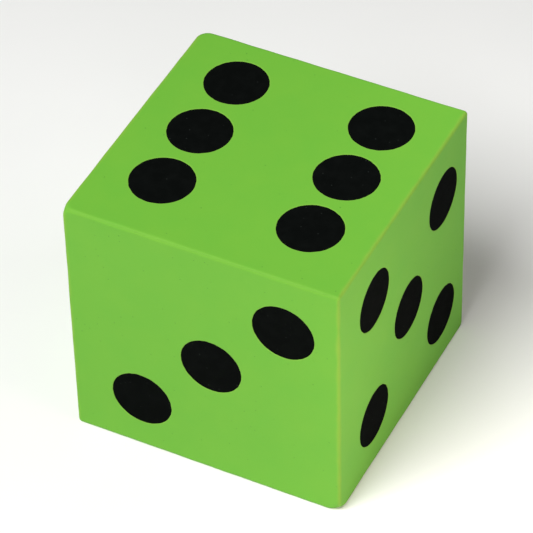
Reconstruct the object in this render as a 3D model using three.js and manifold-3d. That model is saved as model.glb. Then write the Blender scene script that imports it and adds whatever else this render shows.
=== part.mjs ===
// Giant yard die: a soft foam cube with black spots, thrown by hand in lawn games.
//
// It is put together the way such dice are made. Three slabs of light foam are glued into
// a core. Six thin face sheets are glued over the core, mitred where they meet, and the
// edges are buffed round. Every spot is a hole punched through a sheet and filled flush
// with a black disc. Millimetres, +Z up. The die stands on its one, and the origin is
// under its middle, at the level of the floor.

import * as THREE from 'three';
import { mergeVertices } from 'three/addons/utils/BufferGeometryUtils.js';
import Module from 'manifold-3d';

const wasm = await Module();
wasm.setup();

// The cube and its sheets
const EDGE = 152;                 // length of a finished edge, six inches
const HALF = EDGE / 2;
const SHEET = 3;                  // thickness of the face sheets and of the discs
const GLUE = 0.3;                 // glue line between any two pieces
const CORE_SLABS = 3;

// The spots
const HOLE_DIAMETER = 34;
const PITCH = 41;                 // spacing of the three by three grid the spots stand on
const DISC_SIDES = 36;

// The buffed edges and corners
const EDGE_RADIUS = 1.8;
const BUFFED_LOSS = EDGE_RADIUS * (Math.sqrt(3) - 1);   // what that takes off every corner

// Corners that are rubbed off further, and how far along the diagonal from the sharp point
const RUBBED_CORNERS = [
  { side: [-1, 1, 1], loss: 3 },
  { side: [-1, -1, 1], loss: 2.85 },
  { side: [1, 1, -1], loss: 2.1 },
  { side: [-1, 1, -1], loss: 2.6 },
  { side: [1, -1, -1], loss: 3.5 },
];

// Grid lines over half a face, as distances from the edge. The first ones split the
// rounding of an edge into three equal angles, the next ones follow the rubbed corners.
const LINES = [0, 0.76, 1.32, EDGE_RADIUS, 3.2, 5, 7.4, 10, HALF];
const HALF_STEPS = LINES.length - 1;

// Where the spots of each face stand, in grid steps, seen from outside
const CORNER_SPOTS = [[-1, -1], [1, -1], [-1, 1], [1, 1]];
const SPOTS = {
  one: [[0, 0]],
  two: [[-1, -1], [1, 1]],
  three: [[-1, -1], [0, 0], [1, 1]],
  four: CORNER_SPOTS,
  five: [...CORNER_SPOTS, [0, 0]],
  six: [...CORNER_SPOTS, [-1, 0], [1, 0]],
};

// A face is drawn looking up, with its outside at local z = HALF. The turn carries it to
// its side of the cube, and the shift is how far its spots were punched off centre.
// Opposite faces add up to seven.
const QUARTER = Math.PI / 2;
const FACES = [
  { name: 'six', turn: [0, 0, 0], shift: [0.8, 4.3] },
  { name: 'one', turn: [Math.PI, 0, 0], shift: [1.5, -1] },
  { name: 'three', turn: [QUARTER, 0, 0], shift: [4.4, -1] },
  { name: 'four', turn: [QUARTER, Math.PI, 0], shift: [-2, 1] },
  { name: 'five', turn: [QUARTER, QUARTER, 0], shift: [5.8, -1.6] },
  { name: 'two', turn: [QUARTER, -QUARTER, 0], shift: [2, 2.5] },
];

const COLOURS = { sheet: 0x7ac64b, disc: 0x0c0d0c, core: 0xd8d8d2 };

function toSolid(geometry) {
  const bare = geometry.clone();
  bare.deleteAttribute('normal');
  bare.deleteAttribute('uv');
  const merged = mergeVertices(bare);
  return new wasm.Manifold(new wasm.Mesh({
    numProp: 3,
    vertProperties: new Float32Array(merged.attributes.position.array),
    triVerts: new Uint32Array(merged.index.array),
  }));
}

function toGeometry(solid) {
  const mesh = solid.getMesh();
  const geometry = new THREE.BufferGeometry();
  geometry.setAttribute('position', new THREE.BufferAttribute(mesh.vertProperties, 3));
  geometry.setIndex(new THREE.BufferAttribute(mesh.triVerts, 1));
  geometry.computeVertexNormals();
  return geometry;
}

function foamPiece(name, geometry, colour, roughness) {
  const material = new THREE.MeshStandardMaterial({ color: colour, roughness, metalness: 0 });
  const mesh = new THREE.Mesh(geometry, material);
  mesh.name = name;
  return mesh;
}

// How far rubbing pushes a point in, along the diagonal of its corner. The push blends
// out softly, so a rubbed corner is smooth and stays convex.
function rubbedOff(side, point) {
  const corner = RUBBED_CORNERS.find((rubbed) => rubbed.side.every((s, axis) => s === side[axis]));
  if (!corner) return 0;
  const insets = point.toArray().map((t) => HALF - Math.abs(t));
  const depth = (insets[0] + insets[1] + insets[2]) / Math.sqrt(3);
  const blend = corner.loss - BUFFED_LOSS;
  const beyond = Math.min(depth - corner.loss, blend);
  return (blend - beyond) ** 2 / (4 * blend);
}

// The outside of the whole cube, centred on its own middle: a gridded box whose points
// are pulled onto a ball of the edge's radius, and then rubbed off at the corners.
function roundedCube() {
  const geometry = new THREE.BoxGeometry(2, 2, 2, 2 * HALF_STEPS, 2 * HALF_STEPS, 2 * HALF_STEPS);
  const points = geometry.attributes.position;
  const limit = HALF - EDGE_RADIUS;
  for (let i = 0; i < points.count; i += 1) {
    const grid = [points.getX(i), points.getY(i), points.getZ(i)];
    const side = grid.map((t) => (t < 0 ? -1 : 1));
    const onBox = new THREE.Vector3(...grid.map((t, axis) => (
      side[axis] * (HALF - LINES[Math.round((1 - Math.abs(t)) * HALF_STEPS)]))));
    const centre = onBox.clone().clampScalar(-limit, limit);
    const point = onBox.sub(centre).setLength(EDGE_RADIUS).add(centre);
    const push = rubbedOff(side, point) / Math.sqrt(3);
    points.setXYZ(i, ...point.toArray().map((t, axis) => t - side[axis] * push));
  }
  return geometry;
}

// The slice of the cube that belongs to the sheet looking up: flat below at the sheet's
// inner side, with mitred sides that stay half a glue line clear of the neighbours'.
function mitredSlice() {
  const trim = GLUE / Math.SQRT2;
  const height = 2 * SHEET;
  const inner = (HALF - SHEET - trim) * Math.SQRT2;
  const outer = inner + height * Math.SQRT2;
  const slice = new THREE.CylinderGeometry(outer, inner, height, 4, 1, false, Math.PI / 4);
  slice.rotateX(QUARTER);
  return slice.translate(0, 0, HALF - SHEET + height / 2);
}

function plug(diameter, height) {
  const geometry = new THREE.CylinderGeometry(diameter / 2, diameter / 2, height, DISC_SIDES);
  return geometry.rotateX(QUARTER);
}

function spotCentres(face) {
  return SPOTS[face.name].map(([right, up]) => (
    new THREE.Vector2(face.shift[0] + right * PITCH, face.shift[1] + up * PITCH)));
}

function faceSheet(face, rotation) {
  const turned = roundedCube().applyMatrix4(rotation.clone().invert());
  let solid = toSolid(turned).intersect(toSolid(mitredSlice()));
  for (const centre of spotCentres(face)) {
    const punch = plug(HOLE_DIAMETER, 4 * SHEET).translate(centre.x, centre.y, HALF);
    solid = solid.subtract(toSolid(punch));
  }
  return foamPiece(`face_sheet_${face.name}`, toGeometry(solid), COLOURS.sheet, 0.62);
}

function spotDisc(face, centre, number) {
  const geometry = plug(HOLE_DIAMETER - 2 * GLUE, SHEET);
  const disc = foamPiece(`spot_${face.name}_${number}`, geometry, COLOURS.disc, 0.7);
  disc.position.set(centre.x, centre.y, HALF - SHEET / 2);
  return disc;
}

function faceGroup(face) {
  const group = new THREE.Group();
  group.rotation.set(...face.turn);
  const rotation = new THREE.Matrix4().makeRotationFromEuler(group.rotation);
  group.add(faceSheet(face, rotation));
  spotCentres(face).forEach((centre, i) => group.add(spotDisc(face, centre, i + 1)));
  return group;
}

function coreSlab(index) {
  const width = EDGE - 2 * (SHEET + GLUE);
  const thickness = (width - GLUE * (CORE_SLABS - 1)) / CORE_SLABS;
  const geometry = new THREE.BoxGeometry(width, width, thickness);
  const slab = foamPiece(`core_slab_${index + 1}`, geometry, COLOURS.core, 0.8);
  slab.position.z = (index - (CORE_SLABS - 1) / 2) * (thickness + GLUE);
  return slab;
}

const die = new THREE.Group();
die.position.z = HALF;
for (let index = 0; index < CORE_SLABS; index += 1) die.add(coreSlab(index));
for (const face of FACES) die.add(faceGroup(face));

const part = new THREE.Group();
part.add(die);

export default part;
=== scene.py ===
# %% [markdown]
# # A giant foam yard die
#
# This lesson dresses a CAD model of a soft foam die in Blender. The real die is glued up:
# three slabs of light foam make a core, six thin sheets of green foam cover it, and every
# spot is a black disc let into a punched hole.
#
# We could texture one cube and paint the spots on. Instead each piece is cut as a sheet of
# its own, because punched rims, mitred seams and buffed edges catch the light as shapes.

import math

import bmesh
import bpy
import numpy as np
from mathutils import Matrix, Vector, noise
from mathutils.geometry import delaunay_2d_cdt


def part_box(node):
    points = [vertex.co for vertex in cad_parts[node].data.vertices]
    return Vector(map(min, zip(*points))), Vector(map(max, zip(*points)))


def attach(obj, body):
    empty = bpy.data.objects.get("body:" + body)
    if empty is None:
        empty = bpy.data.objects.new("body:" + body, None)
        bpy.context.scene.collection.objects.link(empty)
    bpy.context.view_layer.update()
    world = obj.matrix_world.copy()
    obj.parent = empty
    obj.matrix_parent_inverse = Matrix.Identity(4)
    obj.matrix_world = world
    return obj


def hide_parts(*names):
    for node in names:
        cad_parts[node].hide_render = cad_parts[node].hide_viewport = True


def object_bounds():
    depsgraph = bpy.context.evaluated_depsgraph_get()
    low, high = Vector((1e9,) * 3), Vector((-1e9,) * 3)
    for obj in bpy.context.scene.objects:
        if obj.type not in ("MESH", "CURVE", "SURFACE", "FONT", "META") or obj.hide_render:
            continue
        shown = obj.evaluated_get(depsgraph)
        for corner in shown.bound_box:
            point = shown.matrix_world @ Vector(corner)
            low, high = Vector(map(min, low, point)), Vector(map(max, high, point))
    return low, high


MM = 0.001                        # everything in Blender is in metres

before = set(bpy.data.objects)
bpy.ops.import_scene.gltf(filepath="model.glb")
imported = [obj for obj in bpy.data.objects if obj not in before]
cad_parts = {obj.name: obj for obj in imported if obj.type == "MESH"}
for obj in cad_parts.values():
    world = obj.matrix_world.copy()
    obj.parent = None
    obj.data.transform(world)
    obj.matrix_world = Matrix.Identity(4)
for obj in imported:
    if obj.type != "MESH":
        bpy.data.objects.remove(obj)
cad_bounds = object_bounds()
CENTRE = (cad_bounds[0] + cad_bounds[1]) / 2
EDGE = cad_bounds[1].x - cad_bounds[0].x
HALF = EDGE / 2
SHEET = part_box("face_sheet_six")[1].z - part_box("face_sheet_six")[0].z
print(f"a cube of {EDGE / MM:.0f} mm, covered with {SHEET / MM:.1f} mm sheets")

# %% [markdown]
# ## Where the camera stands
#
# A long lens from twelve edge lengths away keeps the cube's edges nearly parallel, as a
# product shot has them. The camera could track a target with a constraint. Writing its
# axes into one matrix is shorter, and shows what a camera matrix is: right, up and back
# are its first three columns, and its place is the fourth.

# %% Camera
AZIMUTH = math.radians(27.44)
ELEVATION = math.radians(43.64)
ROLL = math.radians(-1.47)
DISTANCE = 11.99 * EDGE
AIM_LEFT = 0.0125 * EDGE          # the view is centred a little left of the die's middle
AIM_UP = 0.006 * EDGE

back = Vector((math.sin(AZIMUTH) * math.cos(ELEVATION),
               -math.cos(AZIMUTH) * math.cos(ELEVATION),
               math.sin(ELEVATION)))
level = Vector((math.cos(AZIMUTH), math.sin(AZIMUTH), 0))
turn = Matrix((level, back.cross(level), back)).transposed() @ Matrix.Rotation(ROLL, 3, "Z")
aim = CENTRE + turn @ Vector((-AIM_LEFT, AIM_UP, 0))

lens = bpy.data.cameras.new("long_lens")
lens.lens = 239
camera = bpy.data.objects.new("camera", lens)
camera.matrix_world = Matrix.Translation(aim + back * DISTANCE) @ turn.to_4x4()
bpy.context.scene.collection.objects.link(camera)
bpy.context.scene.camera = camera
print(f"the camera is {DISTANCE:.2f} m away, with a {lens.lens:.0f} mm lens")

# %% [markdown]
# ## How much of each corner is rubbed off
#
# Foam corners wear sooner than edges. The CAD model holds how far each one is worn. We could
# repeat those numbers, but they can be measured: along the diagonal, from the sharp corner of
# a square cube down to the first point of the model. Buffing an edge to a radius r takes
# r times (root 3 - 1) off every corner, so the least worn corner also gives that radius.

# %% Measure the corners
DIAGONAL = math.sqrt(3)


def below_corner(points):
    """How far points lie below the nearest sharp corner of the cube, along its diagonal."""
    return (HALF - np.abs(points)).sum(axis=1) / DIAGONAL


cad_points = np.array([vertex.co[:] for name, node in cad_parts.items()
                       if name.startswith("face_sheet") for vertex in node.data.vertices])
cad_points -= np.array(CENTRE)

lost = np.zeros((2, 2, 2))
for corner in np.ndindex(2, 2, 2):
    near = ((cad_points > 0) == np.array(corner, bool)).all(axis=1)
    lost[corner] = below_corner(cad_points[near]).min()
BUFFED_LOSS = lost.min()
EDGE_RADIUS = BUFFED_LOSS / (DIAGONAL - 1)
print("lost at the corners, mm:", (lost.ravel() / MM).round(2))
print(f"the edges are buffed to a radius of {EDGE_RADIUS / MM:.2f} mm")

# %% [markdown]
# ## Rounding a cube by pulling its points
#
# Blender's bevel would give every edge the same radius. Hand buffing doesn't. So every
# point of a square cube is pulled onto a ball that rolls just inside the surface, and the
# ball's radius changes a little on the way. Then the points near a rubbed corner are pushed
# in along its diagonal. The push fades out over a parabola, so the corner stays convex and
# has no crease.

# %% Round and buff the outside
BUFFING_WANDER = 0.22             # the radius changes by up to this share
BUFFING_LENGTH = 13 * MM          # from one firm stroke of the buffing wheel to the next
LEAST_BLEND = 0.3 * MM            # even an unrubbed corner has no point


def smoothstep(t):
    """From 0 to 1 as t goes from 0 to 1, setting off and arriving gently."""
    t = np.clip(t, 0, 1)
    return t * t * (3 - 2 * t)


def wander(points, length, seed=0):
    """Smooth random values from -1 to 1 that change over about `length`."""
    offset = Vector((seed * 7.3, seed * 3.1, seed * 5.7))
    return np.array([noise.noise(Vector(p) / length + offset) for p in points])


def rubbed_off(points):
    """How far rubbing pushes points in, along the diagonal of their corner."""
    loss = lost[tuple((points > 0).astype(int).T)]
    blend = np.maximum(loss - BUFFED_LOSS, LEAST_BLEND)
    beyond = np.clip(below_corner(points) - loss, -blend, blend)
    return (blend - beyond)**2 / (4 * blend)


def round_off(points):
    """Points of the square cube, buffed onto the rolling ball and rubbed off at corners."""
    radius = EDGE_RADIUS * (1 + BUFFING_WANDER * wander(points, BUFFING_LENGTH))[:, None]
    centre = np.clip(points, radius - HALF, HALF - radius)
    outwards = points - centre
    outwards /= np.linalg.norm(outwards, axis=1)[:, None]
    buffed = centre + outwards * radius
    return buffed - np.sign(buffed) * rubbed_off(buffed)[:, None] / DIAGONAL


square = np.array([[0, 0, HALF], [HALF, 0, HALF], [HALF, -HALF, HALF]])
moved = np.linalg.norm(round_off(square) - square, axis=1) / MM
print("points move in, mm:", dict(zip(("face", "edge", "corner"), moved.round(2).tolist())))

# %% [markdown]
# ## Foam that dips between its glue
#
# Thin foam is never flat once it is glued. It dips a tenth of a millimetre here and there,
# which is too little to see as a shape but enough to break up the shading. A displace
# modifier could do it. Here it is one function, because the discs have to dip exactly as
# the sheet around them does.

# %% Dip between the glue
DEEPEST_DIP = 0.14 * MM
DIP_LENGTH = 32 * MM              # from one dip to the next
DIP_STARTS = 10 * MM              # from the edges, which the mitres hold in place


def glued_dip(points):
    """How far the foam dips below flat, away from the edges."""
    from_border = HALF - np.sort(np.abs(points), axis=1)[:, 1]
    dip = DEEPEST_DIP * (0.5 + 0.5 * wander(points, DIP_LENGTH))
    return dip * smoothstep(from_border / DIP_STARTS)


print("dips at three points of the top, mm:", (glued_dip(square - [10 * MM, 0, 0]) / MM).round(3))

# %% [markdown]
# ## Filling a cut pattern
#
# A boolean modifier would cut holes, but leaves long thin faces round them. Here the cut
# pattern is laid out flat, like a paper pattern on foam: loops for the cuts, and loose
# points between them. A Delaunay triangulation fills it with even triangles. It fills the
# holes too, so triangles whose middle isn't foam are dropped.

# %% Fill a cut pattern


def is_foam(points, loops):
    """Whether flat points lie in the foam: inside an odd number of the cut loops."""
    crossings = np.zeros(len(points), int)
    for loop in loops:
        for (x0, y0), (x1, y1) in zip(loop, np.roll(loop, -1, axis=0)):
            level_with = (y0 > points[:, 1]) != (y1 > points[:, 1])
            if level_with.any():
                meets_at = x0 + (points[:, 1] - y0) * (x1 - x0) / (y1 - y0)
                crossings += level_with & (points[:, 0] < meets_at)
    return crossings % 2 == 1


def fill_between(loops, loose):
    """Flat points and the triangles between them. Every loop is kept as a cut line."""
    points = np.concatenate([*loops, loose])
    cuts, start = [], 0
    for loop in loops:
        ring = np.arange(start, start + len(loop))
        cuts += np.stack([ring, np.roll(ring, -1)], axis=1).tolist()
        start += len(loop)
    filled = delaunay_2d_cdt([Vector(p) for p in points], cuts, [], 0, 1e-9)
    triangles, given = filled[2], filled[3]
    order = np.array([ids[0] for ids in given])
    triangles = order[np.array(triangles)]
    return points, triangles[is_foam(points[triangles].mean(axis=1), loops)]


sample = np.array([[0, 0], [1, 0], [1, 1], [0, 1]])
print("triangles in a square with one loose point:", len(fill_between([sample], [[0.5, 0.5]])[1]))

# %% [markdown]
# ## From two patterns to a closed sheet
#
# A sheet of foam has two sides and a thickness. The pattern is filled twice, for above and
# below, and two functions carry the flat points to their places. Then rows of quads, the
# walls, join each loop above to the same loop below. A solidify modifier would give one
# thickness everywhere, but a mitred border needs the underside smaller than the top.

# %% Join two sides into a sheet
WALL_ROWS = 3
SHARP_ANGLE = math.radians(35)    # where faces meet at more than this, the edge stays sharp


def cut_sheet(name, loops, top_loose, bottom_loose, top, bottom, wall_rows=WALL_ROWS):
    """A closed sheet. `top` and `bottom` carry flat points to their place in space."""
    upper, upper_faces = fill_between(loops, top_loose)
    lower, lower_faces = fill_between(loops, bottom_loose)
    places = [top(upper), bottom(lower)]
    faces = upper_faces.tolist() + (lower_faces[:, ::-1] + len(upper)).tolist()
    made, start = len(upper) + len(lower), 0
    for loop in loops:
        ring = np.arange(start, start + len(loop))
        down = np.linspace(0, 1, wall_rows + 1)[1:-1, None, None]
        between = places[0][ring] * (1 - down) + places[1][ring] * down
        rows = np.arange(made, made + between.size // 3).reshape(-1, len(loop))
        ladder = np.vstack([ring, rows, ring + len(upper)])
        for high, low in zip(ladder, ladder[1:]):
            faces += np.stack([high, low, np.roll(low, -1), np.roll(high, -1)], 1).tolist()
        places.append(between.reshape(-1, 3))
        made, start = made + between.size // 3, start + len(loop)
    return solid(name, np.concatenate(places), faces)


def solid(name, places, faces):
    """An object from points and faces, with every face turned to look outwards."""
    mesh = bpy.data.meshes.new(name)
    mesh.from_pydata(places.tolist(), [], faces)
    work = bmesh.new()
    work.from_mesh(mesh)
    bmesh.ops.recalc_face_normals(work, faces=work.faces)
    work.to_mesh(mesh)
    work.free()
    mesh.shade_smooth()
    mesh.set_sharp_from_angle(angle=SHARP_ANGLE)
    piece = bpy.data.objects.new(name, mesh)
    bpy.context.scene.collection.objects.link(piece)
    return piece


print("walls are", WALL_ROWS, "rows high")

# %% [markdown]
# ## The sides and where their spots are
#
# On a real die the spots are set out by hand, so no side has them quite in the middle. The
# CAD model knows where they are. For each side, the boxes of its sheet and discs give the
# direction it faces and the flat places of its spots, and nothing is typed in twice. Six
# copies of one texture would be quicker, but all their spots would be in the same places.

# %% Sides and spots
GLUE = 0.3 * MM                   # the CAD model's discs are smaller than the holes by this


class Side:
    """One side of the die: its directions, and its spots in flat (right, up) places."""

    def __init__(self, number):
        self.number = number
        self.node = f"face_sheet_{number}"
        low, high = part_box(self.node)
        axis = int(np.argmin(high - low))
        self.out = np.zeros(3)
        self.out[axis] = math.copysign(1, ((low + high) / 2 - CENTRE)[axis])
        self.up = np.array((0.0, 1.0, 0.0) if axis == 2 else (0.0, 0.0, 1.0))
        self.right = np.cross(self.up, self.out)
        self.discs = sorted(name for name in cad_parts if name.startswith(f"spot_{number}_"))
        middles = [np.array((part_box(disc)[0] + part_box(disc)[1]) / 2 - CENTRE) for disc in self.discs]
        self.spots = [np.array((m @ self.right, m @ self.up)) for m in middles]

    def place(self, flat, height):
        """Flat points at a height above the die's middle, as points in space."""
        height = np.broadcast_to(height, len(flat))
        return flat[:, :1] * self.right + flat[:, 1:] * self.up + height[:, None] * self.out


NUMBERS = ("one", "two", "three", "four", "five", "six")
sides = [Side(number) for number in NUMBERS]
disc_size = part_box(sides[0].discs[0])[1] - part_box(sides[0].discs[0])[0]
HOLE_RADIUS = max(disc_size) / 2 + GLUE
print(f"{sum(len(side.spots) for side in sides)} spots of {2 * HOLE_RADIUS / MM:.1f} mm")

# %% [markdown]
# ## Punched rims
#
# A punch presses the foam before it cuts it, so the rim of a hole rolls over by a fraction
# of a millimetre and wanders a little where cells tear. The disc that fills the hole was
# cut by the same punch. One function gives the rim's radius at any angle, and both the
# sheet and the disc use it, so they fit.

# %% Punched rims
RIM_POINTS = 144
TEAR = 0.16 * MM                  # how far a rim strays from a true circle
TEAR_LENGTH = 2.2 * MM
LIP = 0.3 * MM                    # radius of the rolled rim
FIT = 0.03 * MM                   # air between a disc and its hole
LIP_ANGLES = np.radians((22.5, 45, 67.5, 90))
RINGS_BEYOND = (0.8 * MM, 1.6 * MM)  # they lead from the fine rim to the coarse grid


def rim_radius(spot, angles):
    """The torn radius of a punched hole. Each spot tears in its own way."""
    around = np.stack([np.cos(angles), np.sin(angles)], axis=1) * HOLE_RADIUS
    places = np.column_stack([around, np.full(len(angles), spot[0] + 2 * spot[1])])
    return HOLE_RADIUS + TEAR * wander(places, TEAR_LENGTH)


def rim(spot, outside):
    """A ring of points at a distance outside a hole's edge, or inside it if negative."""
    angles = np.arange(RIM_POINTS) * 2 * math.pi / RIM_POINTS
    radius = rim_radius(spot, angles) + outside
    return spot + np.stack([np.cos(angles), np.sin(angles)], axis=1) * radius[:, None]


def beyond_rim(flat, spot):
    """How far flat points are outside a hole's edge."""
    away = flat - spot
    return np.hypot(*away.T) - rim_radius(spot, np.arctan2(away[:, 1], away[:, 0]))


def rolled(distance):
    """How deep a rolled rim lies at a distance from its edge."""
    left = np.clip(LIP - distance, 0, LIP)
    return LIP - np.sqrt(LIP**2 - left**2)


rim_steps = [*(LIP * (1 - np.cos(LIP_ANGLES))), *RINGS_BEYOND]
print("rings of points beside a rim, at mm:", [round(step / MM, 2) for step in rim_steps])

# %% [markdown]
# ## A grid that is fine where the sheet bends
#
# A face sheet is flat except along its border, where it rolls over an edge in less than
# two millimetres. Subdividing the whole sheet would waste points on the flat part. So the
# grid's lines start very close together at the border, and each step inwards is a sixth
# wider than the last.

# %% Set out the grid
SEAM = 0.04 * MM                  # between two neighbouring sheets
FIRST_STEP = 0.15 * MM
WIDEST_STEP = 2.5 * MM
STEP_GROWTH = 1.16


def grid_lines():
    """Places of the grid lines across a side: fine at both borders."""
    border = HALF - SEAM
    growing = [FIRST_STEP]
    while growing[-1] * STEP_GROWTH < WIDEST_STEP:
        growing.append(growing[-1] * STEP_GROWTH)
    fine = np.concatenate([[0], np.cumsum(growing)])
    even = np.linspace(fine[-1], border, round((border - fine[-1]) / WIDEST_STEP) + 1)[1:]
    half = border - np.concatenate([fine, even])
    return np.concatenate([-half, half[-2::-1]])


def square_loop(lines):
    """The border of the square grid, once round."""
    low, high = lines[0], lines[-1]
    there, home = lines[:-1], lines[:0:-1]
    corners = [np.column_stack([there, np.full_like(there, low)]),
               np.column_stack([np.full_like(there, high), there]),
               np.column_stack([home, np.full_like(home, high)]),
               np.column_stack([np.full_like(home, low), home])]
    return np.concatenate(corners)


def inner_grid(lines, spots, clear_of):
    """Grid points that aren't on the border or too near a spot."""
    across, along = np.meshgrid(lines[1:-1], lines[1:-1])
    points = np.column_stack([across.ravel(), along.ravel()])
    for spot in spots:
        points = points[np.hypot(*(points - spot).T) > HOLE_RADIUS + clear_of]
    return points


grid = grid_lines()
print(f"{len(grid)} lines, {np.diff(grid).min() / MM:.2f} to {np.diff(grid).max() / MM:.2f} mm apart")

# %% [markdown]
# ## The six face sheets
#
# Seen flat, a face sheet is a square with holes. Each is laid out, carried to its side of
# the die, rounded, dipped and rolled over at its rims. Underneath, the border is drawn in
# by one thickness. That is the mitre, the slanted cut where two sheets meet, and it is why
# no edge of the die shows the thickness of a sheet.

# %% Face sheets
MITRE_ZONE = 3 * SHEET            # the border that is drawn in for the mitre
CLEAR_ABOVE = 2.6 * MM            # the grid keeps this far from a rim, whose rings fill in
CLEAR_BELOW = 4 * MM              # the hidden side needs fewer points
EVERY_BELOW = 4


def drawn_in(flat):
    """The border moved in by one thickness, the rest left where it is."""
    start = HALF - MITRE_ZONE
    beyond = np.clip(np.abs(flat) - start, 0, None)
    return np.sign(flat) * (np.abs(flat) - beyond * SHEET / MITRE_ZONE)


def face_sheet(side):
    loops = [square_loop(grid)] + [rim(spot, 0) for spot in side.spots]
    rings = [rim(spot, step) for spot in side.spots for step in rim_steps]
    top_loose = np.concatenate([inner_grid(grid, side.spots, CLEAR_ABOVE), *rings])
    bottom_loose = inner_grid(grid[::EVERY_BELOW], side.spots, CLEAR_BELOW)

    def top(flat):
        square = side.place(flat, HALF)
        dip = glued_dip(square)
        for spot in side.spots:
            dip += rolled(beyond_rim(flat, spot))
        return np.array(CENTRE) + round_off(square) - dip[:, None] * side.out

    def bottom(flat):
        return np.array(CENTRE) + side.place(drawn_in(flat), HALF - SHEET)

    return cut_sheet(f"{side.node}_foam", loops, top_loose, bottom_loose, top, bottom)


face_sheets = {side.number: face_sheet(side) for side in sides}
print("points in each face sheet:", {n: len(s.data.vertices) for n, s in face_sheets.items()})

# %% [markdown]
# ## The discs
#
# A disc is the foam that the punch took out of a black sheet. Its rim follows the hole's
# rim, a hair smaller, and rolls over the same way. It dips where the sheet around it dips,
# and it is pressed in by hand, so some sit a few hundredths of a millimetre deeper.

# %% Discs
DISC_STEP = 2 * MM
DISC_CLEAR = 2.4 * MM             # from the grid to the rim, as on the sheets
DISC_EVERY_BELOW = 5
PRESSED_IN = 0.06 * MM            # the deepest a disc sits below its sheet


def black_disc(side, name, spot, depth):
    """A disc for one spot. `depth` is how far it is pressed in."""
    reach = HOLE_RADIUS - FIT
    loops = [rim(spot, -FIT)]
    lines = np.arange(-reach, reach, DISC_STEP)
    loose = np.stack(np.meshgrid(lines, lines), axis=-1).reshape(-1, 2)
    loose = loose[np.hypot(*loose.T) < HOLE_RADIUS - DISC_CLEAR] + spot
    rings = [rim(spot, -FIT - step) for step in rim_steps]

    def top(flat):
        drop = depth + glued_dip(side.place(flat, HALF)) + rolled(-FIT - beyond_rim(flat, spot))
        return np.array(CENTRE) + side.place(flat, HALF - drop)

    def bottom(flat):
        return np.array(CENTRE) + side.place(flat, HALF - SHEET)

    return cut_sheet(name, loops, np.concatenate([loose, *rings]), loose[::DISC_EVERY_BELOW],
                     top, bottom)


discs = {}
for side in sides:
    for index, (node, spot) in enumerate(zip(side.discs, side.spots)):
        depth = PRESSED_IN * (0.5 + 0.5 * math.sin(3 * index + spot[0] / MM))
        discs[node] = black_disc(side, f"{node}_foam", spot, depth)
print("discs:", len(discs))

# %% [markdown]
# ## The core
#
# The core never shows, but it is made properly. Its slabs are skived, which means sliced
# from a block with a band knife. The knife leaves sharp edges and faces that waver. A slab
# is a sheet too, only thicker, so it is cut the same way.

# %% Core slabs
CORE_STEP = 4 * MM
KNIFE_WAVER = 0.12 * MM
KNIFE_LENGTH = 22 * MM
CORE_EDGE = 0.4 * MM              # the sharp edges give way a little in handling
CORE_WALL_ROWS = 12


def core_slab(name):
    """A slab with wavering cut faces, in the box of its CAD node."""
    low, high = (np.array(corner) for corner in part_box(name))
    half = (high[0] - low[0]) / 2
    lines = np.linspace(-half, half, round(2 * half / CORE_STEP) + 1)
    near = np.array([half - CORE_EDGE, half - 2 * CORE_EDGE])
    lines = np.sort(np.concatenate([lines, near, -near]))
    inner = inner_grid(lines, [], 0)

    def surface(flat, height, into):
        """One cut face. `into` points into the foam, and the border is eased over."""
        places = np.column_stack([flat, np.full(len(flat), height)])
        waver = KNIFE_WAVER * (0.5 + 0.5 * wander(places, KNIFE_LENGTH, seed=1))
        eased = CORE_EDGE * (1 - smoothstep((half - np.abs(flat).max(axis=1)) / (2 * CORE_EDGE)))
        places[:, 2] += into * (waver + eased)
        places[:, :2] *= (1 - eased / half / 2)[:, None]
        return places

    return cut_sheet(f"{name}_foam", [square_loop(lines)], inner, inner,
                     lambda flat: surface(flat, high[2], -1),
                     lambda flat: surface(flat, low[2], 1), wall_rows=CORE_WALL_ROWS)


core_names = sorted(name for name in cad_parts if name.startswith("core_slab"))
core_slabs = {name: core_slab(name) for name in core_names}
print("core slabs:", list(core_slabs))

# %% [markdown]
# ## Two helpers for materials
#
# Colours are written as the sRGB hex values that a colour picker shows. The shader wants
# linear light, so one function turns them over. The other function adds a node, sets its
# values and links its inputs, which keeps a material readable from top to bottom.

# %% Colours and nodes


def linear(hex_colour):
    """An sRGB hex colour such as '#7ac64b' as linear red, green, blue and alpha."""
    codes = [int(hex_colour[i:i + 2], 16) / 255 for i in (1, 3, 5)]
    return [c / 12.92 if c <= 0.04045 else ((c + 0.055) / 1.055)**2.4 for c in codes] + [1]


def add_node(tree, kind, values=(), links=(), **settings):
    """One node. `values` and `links` go to its inputs by name or number."""
    node = tree.nodes.new(kind)
    for name, setting in settings.items():
        setattr(node, name, setting)
    for name, value in dict(values).items():
        node.inputs[name].default_value = value
    for name, output in dict(links).items():
        tree.links.new(output, node.inputs[name])
    return node


def empty_material(name):
    """A material with nothing in it yet, and its node tree."""
    made = bpy.data.materials.new(name)
    made.use_nodes = True
    made.node_tree.nodes.clear()
    return made, made.node_tree


def per(length):
    """The noise scale that gives features of about that length."""
    return 1 / length


print("a middle grey, #808080, is", round(linear("#808080")[0], 3), "in linear light")
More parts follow.
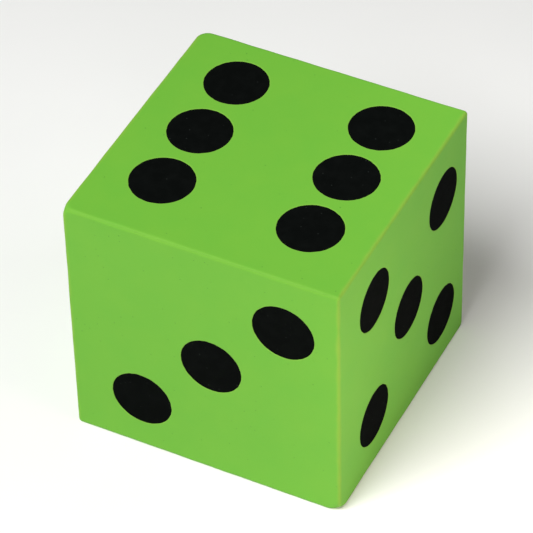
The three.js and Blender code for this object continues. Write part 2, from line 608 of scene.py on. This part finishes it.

# %% [markdown]
# ## Where the foam was buffed and pressed, and where highlight is painted
#
# A buffing wheel opens the cells along the edges, which turns them paler, and the punch
# presses the foam shut around its holes. The pale band along the edges is also painted
# highlight, strongest on the edges that the lamps leave dark. A shader could find the edges
# with a bevel or a pointiness node, but only while rendering, and only roughly. The mesh
# knows where its edges are, so the amounts are worked out here and stored on its points as
# attributes.

# %% Store the buffing and painted edge highlight on the sheets
BUFFED_AND_HIGHLIT_WIDTH = 2.6 * MM
WIDTH_VARIES = 0.45               # as a share, from one stroke to the next
STROKE = 7 * MM
PATCHES = 0.15                    # how much paler and darker patches alternate in the line
PATCH_LENGTH = 4 * MM
ROUNDED_END = 0.1 * MM            # keeps the share of each edge even right at a corner
# The share per edge direction is mostly painted highlight. It is full along y and z, whose rounded edges
# the lamps leave dark, and small along x, which the key lights itself.
BUFFING_AND_HIGHLIGHT_SHARE = np.array([0.2, 1, 1])  # of the wheel on the edges that run along x, y and z
PRESSED_WIDTH = 3 * LIP


def store_buffing_and_highlight(piece, side):
    """Store on each point how much it was buffed and given painted highlight, and how much the punch
    pressed it.
    """
    places = np.array([v.co[:] for v in piece.data.vertices]) - np.array(CENTRE)
    from_faces = HALF - np.abs(places)
    width = BUFFED_AND_HIGHLIT_WIDTH * (1 + WIDTH_VARIES * wander(places, STROKE, seed=2))
    # The band is paler buffed foam and painted highlight together.
    buffed = 1 - smoothstep(np.sort(from_faces, axis=1)[:, 1] / width)
    runs_along = (from_faces + ROUNDED_END)**2
    runs_along /= runs_along.sum(axis=1)[:, None]
    patches = 1 - PATCHES + PATCHES * wander(places, PATCH_LENGTH, seed=3)
    buffed *= runs_along @ BUFFING_AND_HIGHLIGHT_SHARE * patches
    flat = np.stack([places @ side.right, places @ side.up], axis=1)
    punched = np.zeros(len(places))
    for spot in side.spots:
        punched = np.maximum(punched, 1 - smoothstep(beyond_rim(flat, spot) / PRESSED_WIDTH))
    for name, amounts in (("buffed", buffed), ("punched", punched)):
        layer = piece.data.attributes.new(name, "FLOAT", "POINT")
        layer.data.foreach_set("value", np.clip(amounts, 0, 1).astype(np.float32))


for side in sides:
    store_buffing_and_highlight(face_sheets[side.number], side)
# This counts the points in the band of buffing and painted highlight.
layer = face_sheets["six"].data.attributes["buffed"].data
print("points with buffing and painted highlight on the six:", sum(point.value > 0.1 for point in layer))

# %% [markdown]
# ## Lime green EVA foam
#
# EVA is foamed with closed cells about 0.15 mm wide and skived, which means sliced, into
# sheets. The knife opens the cells at the surface, so the eye sees a soft, even colour with
# no highlight, faint clouds where cells are larger, and a few pinholes. Typical EVA has an
# IOR near 1.48 and a roughness above 0.6, and open cells halve its reflection.
#
# The cells are too fine to show, so the grain is drawn three times too coarse.

# %% Lime green EVA foam
LIME = "#71b135"
LIME_DENSE = "#64ad34"            # where the cells are small and the colour is full
# The paler edge colour is partly buffed foam and partly painted highlight.
LIME_BUFFED_AND_HIGHLIT = "#88b23c"
LIME_PRESSED = "#77b13b"
# A pinhole's darker green is painted shade in its pit.
PINHOLE_PAINTED_SHADE = "#4d8d29"
CLOUD_SIZE = 24 * MM
GRAIN_SIZE = 0.45 * MM            # three times a real cell
PINHOLE_SPACING = 5 * MM
PINHOLE_REACH = 0.035, 0.075      # its dark middle and its rim, as shares of the spacing
CELLS_WITHOUT = 0.55              # the share of places that have no pinhole


def lime_eva_foam():
    made, tree = empty_material("lime_eva_foam_buffed_and_highlit")
    where = add_node(tree, "ShaderNodeTexCoord").outputs["Object"]
    clouds = add_node(tree, "ShaderNodeTexNoise",
                      {"Scale": per(CLOUD_SIZE), "Detail": 5, "Roughness": 0.62},
                      {"Vector": where})
    grain = add_node(tree, "ShaderNodeTexNoise",
                     {"Scale": per(GRAIN_SIZE), "Detail": 2, "Roughness": 0.6},
                     {"Vector": where})
    pinholes = add_node(tree, "ShaderNodeTexVoronoi",
                        {"Scale": per(PINHOLE_SPACING), "Randomness": 1}, {"Vector": where})
    # a pinhole is the middle of a Voronoi cell, and only some cells have one
    near_middle = add_node(tree, "ShaderNodeMapRange",
                           {"From Min": PINHOLE_REACH[0], "From Max": PINHOLE_REACH[1],
                            "To Min": 1, "To Max": 0},
                           {"Value": pinholes.outputs["Distance"]})
    chosen = add_node(tree, "ShaderNodeMath", {1: CELLS_WITHOUT}, {0: pinholes.outputs["Color"]},
                      operation="GREATER_THAN")
    pit = add_node(tree, "ShaderNodeMath", (), {0: near_middle.outputs[0],
                                               1: chosen.outputs[0]}, operation="MULTIPLY")
    buffed = add_node(tree, "ShaderNodeAttribute", attribute_name="buffed")
    punched = add_node(tree, "ShaderNodeAttribute", attribute_name="punched")
    cloudy = add_node(tree, "ShaderNodeMix",
                      {6: linear(LIME_DENSE), 7: linear(LIME)},
                      {0: clouds.outputs["Fac"]}, data_type="RGBA")
    speckled = add_node(tree, "ShaderNodeMix", {0: 0.06},
                        {6: cloudy.outputs[2], 7: grain.outputs["Color"]},
                        data_type="RGBA", blend_type="SOFT_LIGHT")
    # Painted shade darkens each pit.
    pit_shaded = add_node(tree, "ShaderNodeMix", {7: linear(PINHOLE_PAINTED_SHADE)},
                      {0: pit.outputs[0], 6: speckled.outputs[2]}, data_type="RGBA")
    pressed = add_node(tree, "ShaderNodeMix", {7: linear(LIME_PRESSED)},
                       {0: punched.outputs["Fac"], 6: pit_shaded.outputs[2]}, data_type="RGBA")
    # The edges are mixed towards the paler colour, with buffed foam and painted highlight in one band.
    pale = add_node(tree, "ShaderNodeMix", {7: linear(LIME_BUFFED_AND_HIGHLIT)},
                    {0: buffed.outputs["Fac"], 6: pressed.outputs[2]}, data_type="RGBA")
    rough = add_node(tree, "ShaderNodeMapRange", {"To Min": 0.62, "To Max": 0.78},
                     {"Value": grain.outputs["Fac"]})
    pores = add_node(tree, "ShaderNodeBump", {"Strength": 0.25, "Distance": 0.05 * MM},
                     {"Height": grain.outputs["Fac"]})
    dents = add_node(tree, "ShaderNodeBump", {"Strength": 0.5, "Distance": 0.3 * MM},
                     {"Height": pit.outputs[0], "Normal": pores.outputs[0]}, invert=True)
    foam = add_node(tree, "ShaderNodeBsdfPrincipled",
                    {"IOR": 1.48, "Specular IOR Level": 0.25, "Sheen Weight": 0.02,
                     "Sheen Roughness": 0.6},
                    {"Base Color": pale.outputs[2], "Roughness": rough.outputs[0],
                     "Normal": dents.outputs[0]})
    add_node(tree, "ShaderNodeOutputMaterial", (), {"Surface": foam.outputs[0]})
    return made


lime_foam = lime_eva_foam()
print("made", lime_foam.name)

# %% [markdown]
# ## Black EVA foam
#
# The same foam, filled with carbon black. Carbon takes nearly all the light, so no clouds
# show. What shows is lint and dust in the open cells: small grey specks, and a faint haze.
# Plain black would look like a hole in the die. The IOR and roughness are those of the
# green foam, a little rougher, and the soot leaves almost no reflection.

# %% Black EVA foam
CARBON = "#090b0a"
DUST = "#2c302e"
BLACK_GRAIN = 0.5 * MM            # three times a real cell, as in the green foam
HAZE_SIZE = 6 * MM
LINT_SPACING = 3.4 * MM
LINT_REACH = 0.04, 0.11           # a speck's middle and its edge, as shares of the spacing
PLACES_WITHOUT = 0.6


def black_eva_foam():
    made, tree = empty_material("black_eva_foam_punched")
    where = add_node(tree, "ShaderNodeTexCoord").outputs["Object"]
    grain = add_node(tree, "ShaderNodeTexNoise",
                     {"Scale": per(BLACK_GRAIN), "Detail": 3, "Roughness": 0.7},
                     {"Vector": where})
    film = add_node(tree, "ShaderNodeTexNoise",
                    {"Scale": per(HAZE_SIZE), "Detail": 3, "Roughness": 0.6},
                    {"Vector": where})
    specks = add_node(tree, "ShaderNodeTexVoronoi",
                      {"Scale": per(LINT_SPACING), "Randomness": 1}, {"Vector": where})
    near_middle = add_node(tree, "ShaderNodeMapRange",
                           {"From Min": LINT_REACH[0], "From Max": LINT_REACH[1],
                            "To Min": 1, "To Max": 0},
                           {"Value": specks.outputs["Distance"]})
    chosen = add_node(tree, "ShaderNodeMath", {1: PLACES_WITHOUT}, {0: specks.outputs["Color"]},
                      operation="GREATER_THAN")
    speck = add_node(tree, "ShaderNodeMath", (), {0: near_middle.outputs[0],
                                                 1: chosen.outputs[0]}, operation="MULTIPLY")
    hazy = add_node(tree, "ShaderNodeMapRange",
                    {"From Min": 0.4, "From Max": 0.8, "To Max": 0.06},
                    {"Value": film.outputs["Fac"]})
    dusty = add_node(tree, "ShaderNodeMath", (), {0: speck.outputs[0], 1: hazy.outputs[0]},
                     operation="ADD", use_clamp=True)
    colour = add_node(tree, "ShaderNodeMix", {6: linear(CARBON), 7: linear(DUST)},
                      {0: dusty.outputs[0]}, data_type="RGBA")
    rough = add_node(tree, "ShaderNodeMapRange", {"To Min": 0.75, "To Max": 0.95},
                     {"Value": grain.outputs["Fac"]})
    pores = add_node(tree, "ShaderNodeBump", {"Strength": 0.4, "Distance": 0.06 * MM},
                     {"Height": grain.outputs["Fac"]})
    foam = add_node(tree, "ShaderNodeBsdfPrincipled",
                    {"IOR": 1.48, "Specular IOR Level": 0.01},
                    {"Base Color": colour.outputs[2], "Roughness": rough.outputs[0],
                     "Normal": pores.outputs[0]})
    add_node(tree, "ShaderNodeOutputMaterial", (), {"Surface": foam.outputs[0]})
    return made


black_foam = black_eva_foam()
print("made", black_foam.name)

# %% [markdown]
# ## Core foam
#
# A cheaper polyethylene foam with cells as wide as a millimetre, left its natural off-white.
# Under the knife each cell opens into a shallow cup, so the eye sees a fine, matt froth.
# Voronoi cells look like that, and give both the colour and the bump: each cup is darker
# towards its middle, which is painted shade. A slow wave adds the bands of the knife.

# %% Core foam
NATURAL = "#dcdcd4"
CUP_PAINTED_SHADE = "#bdbdb2"
CORE_CELL = 1.1 * MM
KNIFE_BANDS = 60 * MM


def natural_foam():
    made, tree = empty_material("natural_closed_cell_foam")
    where = add_node(tree, "ShaderNodeTexCoord").outputs["Object"]
    cells = add_node(tree, "ShaderNodeTexVoronoi",
                     {"Scale": per(CORE_CELL), "Randomness": 1}, {"Vector": where})
    knife = add_node(tree, "ShaderNodeTexWave",
                     {"Scale": per(KNIFE_BANDS), "Distortion": 3, "Detail": 2},
                     {"Vector": where}, bands_direction="Y")
    lines = add_node(tree, "ShaderNodeMath", {1: 0.15}, {0: knife.outputs["Fac"]},
                     operation="MULTIPLY")
    height = add_node(tree, "ShaderNodeMath", (), {0: cells.outputs["Distance"],
                                                  1: lines.outputs[0]}, operation="ADD")
    # Each cup is darker where it lies deepest, which is painted shade.
    colour = add_node(tree, "ShaderNodeMix", {6: linear(CUP_PAINTED_SHADE), 7: linear(NATURAL)},
                      {0: cells.outputs["Distance"]}, data_type="RGBA")
    cups = add_node(tree, "ShaderNodeBump", {"Strength": 0.6, "Distance": 0.2 * MM},
                    {"Height": height.outputs[0]})
    foam = add_node(tree, "ShaderNodeBsdfPrincipled", {"IOR": 1.5, "Roughness": 0.8},
                    {"Base Color": colour.outputs[2], "Normal": cups.outputs[0]})
    add_node(tree, "ShaderNodeOutputMaterial", (), {"Surface": foam.outputs[0]})
    return made


core_foam = natural_foam()
print("made", core_foam.name)

# %% [markdown]
# ## Putting the pieces in place
#
# Nothing on a die moves, so every piece rides on the one body, "root". Each one takes the
# place of its CAD node, which is hidden, and gets its foam, which is firm and full.

# %% Put each piece on the root body


def fit(piece, node, material):
    """Give a piece its foam, put it on the root body and hide the CAD node it stands for."""
    piece.data.materials.append(material)
    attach(piece, "root")
    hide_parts(node)


for side in sides:
    fit(face_sheets[side.number], side.node, lime_foam)
for node, disc in discs.items():
    fit(disc, node, black_foam)
for node, slab in core_slabs.items():
    fit(slab, node, core_foam)
print("pieces in place:", len(face_sheets) + len(discs) + len(core_slabs))

# %% [markdown]
# ## The floor
#
# Seamless paper is the plain floor of a product studio. It is nearly white, and very
# slightly uneven in tone, which keeps the soft shadow from looking computed. A studio sweeps
# the paper up behind the object. Seen from above no horizon comes into view, so one large
# flat face does.

# %% Paper floor
PAPER = "#f8f8f6"
PAPER_SHADE = "#f3f3f1"
FLOOR_SIZE = 60 * EDGE
TONE_SIZE = 90 * MM


def seamless_paper():
    made, tree = empty_material("seamless_paper")
    where = add_node(tree, "ShaderNodeTexCoord").outputs["Object"]
    tone = add_node(tree, "ShaderNodeTexNoise", {"Scale": per(TONE_SIZE), "Detail": 2},
                    {"Vector": where})
    colour = add_node(tree, "ShaderNodeMix", {6: linear(PAPER_SHADE), 7: linear(PAPER)},
                      {0: tone.outputs["Fac"]}, data_type="RGBA")
    paper = add_node(tree, "ShaderNodeBsdfPrincipled",
                     {"Roughness": 0.9, "Specular IOR Level": 0.2},
                     {"Base Color": colour.outputs[2]})
    add_node(tree, "ShaderNodeOutputMaterial", (), {"Surface": paper.outputs[0]})
    return made


floor_mesh = bpy.data.meshes.new("paper_floor")
reach = FLOOR_SIZE / 2
floor_mesh.from_pydata([(x, y, 0) for x, y in ((-reach, -reach), (reach, -reach),
                                              (reach, reach), (-reach, reach))],
                       [], [(0, 1, 2, 3)])
floor_mesh.materials.append(seamless_paper())
floor = bpy.data.objects.new("paper_floor", floor_mesh)
bpy.context.scene.collection.objects.link(floor)
print(f"floor of {FLOOR_SIZE:.1f} m")

# %% [markdown]
# ## Light
#
# Three softboxes, as in a small product studio. The key is large and stands high in front.
# It lights the top most, and the pale paper throws enough back to bring the front level with
# it. Two small weak ones stand close to the right side, one high at the back and one low at
# the front. They keep that side clearly darker but still green. The key alone would be
# simpler, and leave it nearly black. The dim white room only lifts the deepest shadows.
#
# The Standard view keeps the strong green as it is. The default view would wash it out.

# %% Softboxes
bpy.context.scene.view_settings.view_transform = "Standard"


def softbox(name, azimuth, elevation, distance, size, watts, colour="#ffffff"):
    """A square light that faces the die, placed by its direction from the die."""
    direction = Vector((math.sin(math.radians(azimuth)) * math.cos(math.radians(elevation)),
                        -math.cos(math.radians(azimuth)) * math.cos(math.radians(elevation)),
                        math.sin(math.radians(elevation))))
    light = bpy.data.lights.new(name, "AREA")
    light.size = size
    light.energy = watts
    light.color = linear(colour)[:3]
    box = bpy.data.objects.new(name, light)
    box.location = CENTRE + direction * distance
    box.rotation_euler = direction.to_track_quat("Z", "Y").to_euler()
    bpy.context.scene.collection.objects.link(box)
    return box


softbox("key", -20, 56, 2.2, 1.32, 63)
softbox("back_right", 120, 47, 0.42, 0.25, 0.4)
softbox("low_right", 64, 8.6, 0.25, 0.1, 0.19, "#ffeadc")

ROOM_LIGHT = 0.03
room = bpy.data.worlds.new("dim_white_room")
room.use_nodes = True
room.node_tree.nodes["Background"].inputs["Color"].default_value = linear("#ffffff")
room.node_tree.nodes["Background"].inputs["Strength"].default_value = ROOM_LIGHT
bpy.context.scene.world = room
print("three softboxes and a dim room")
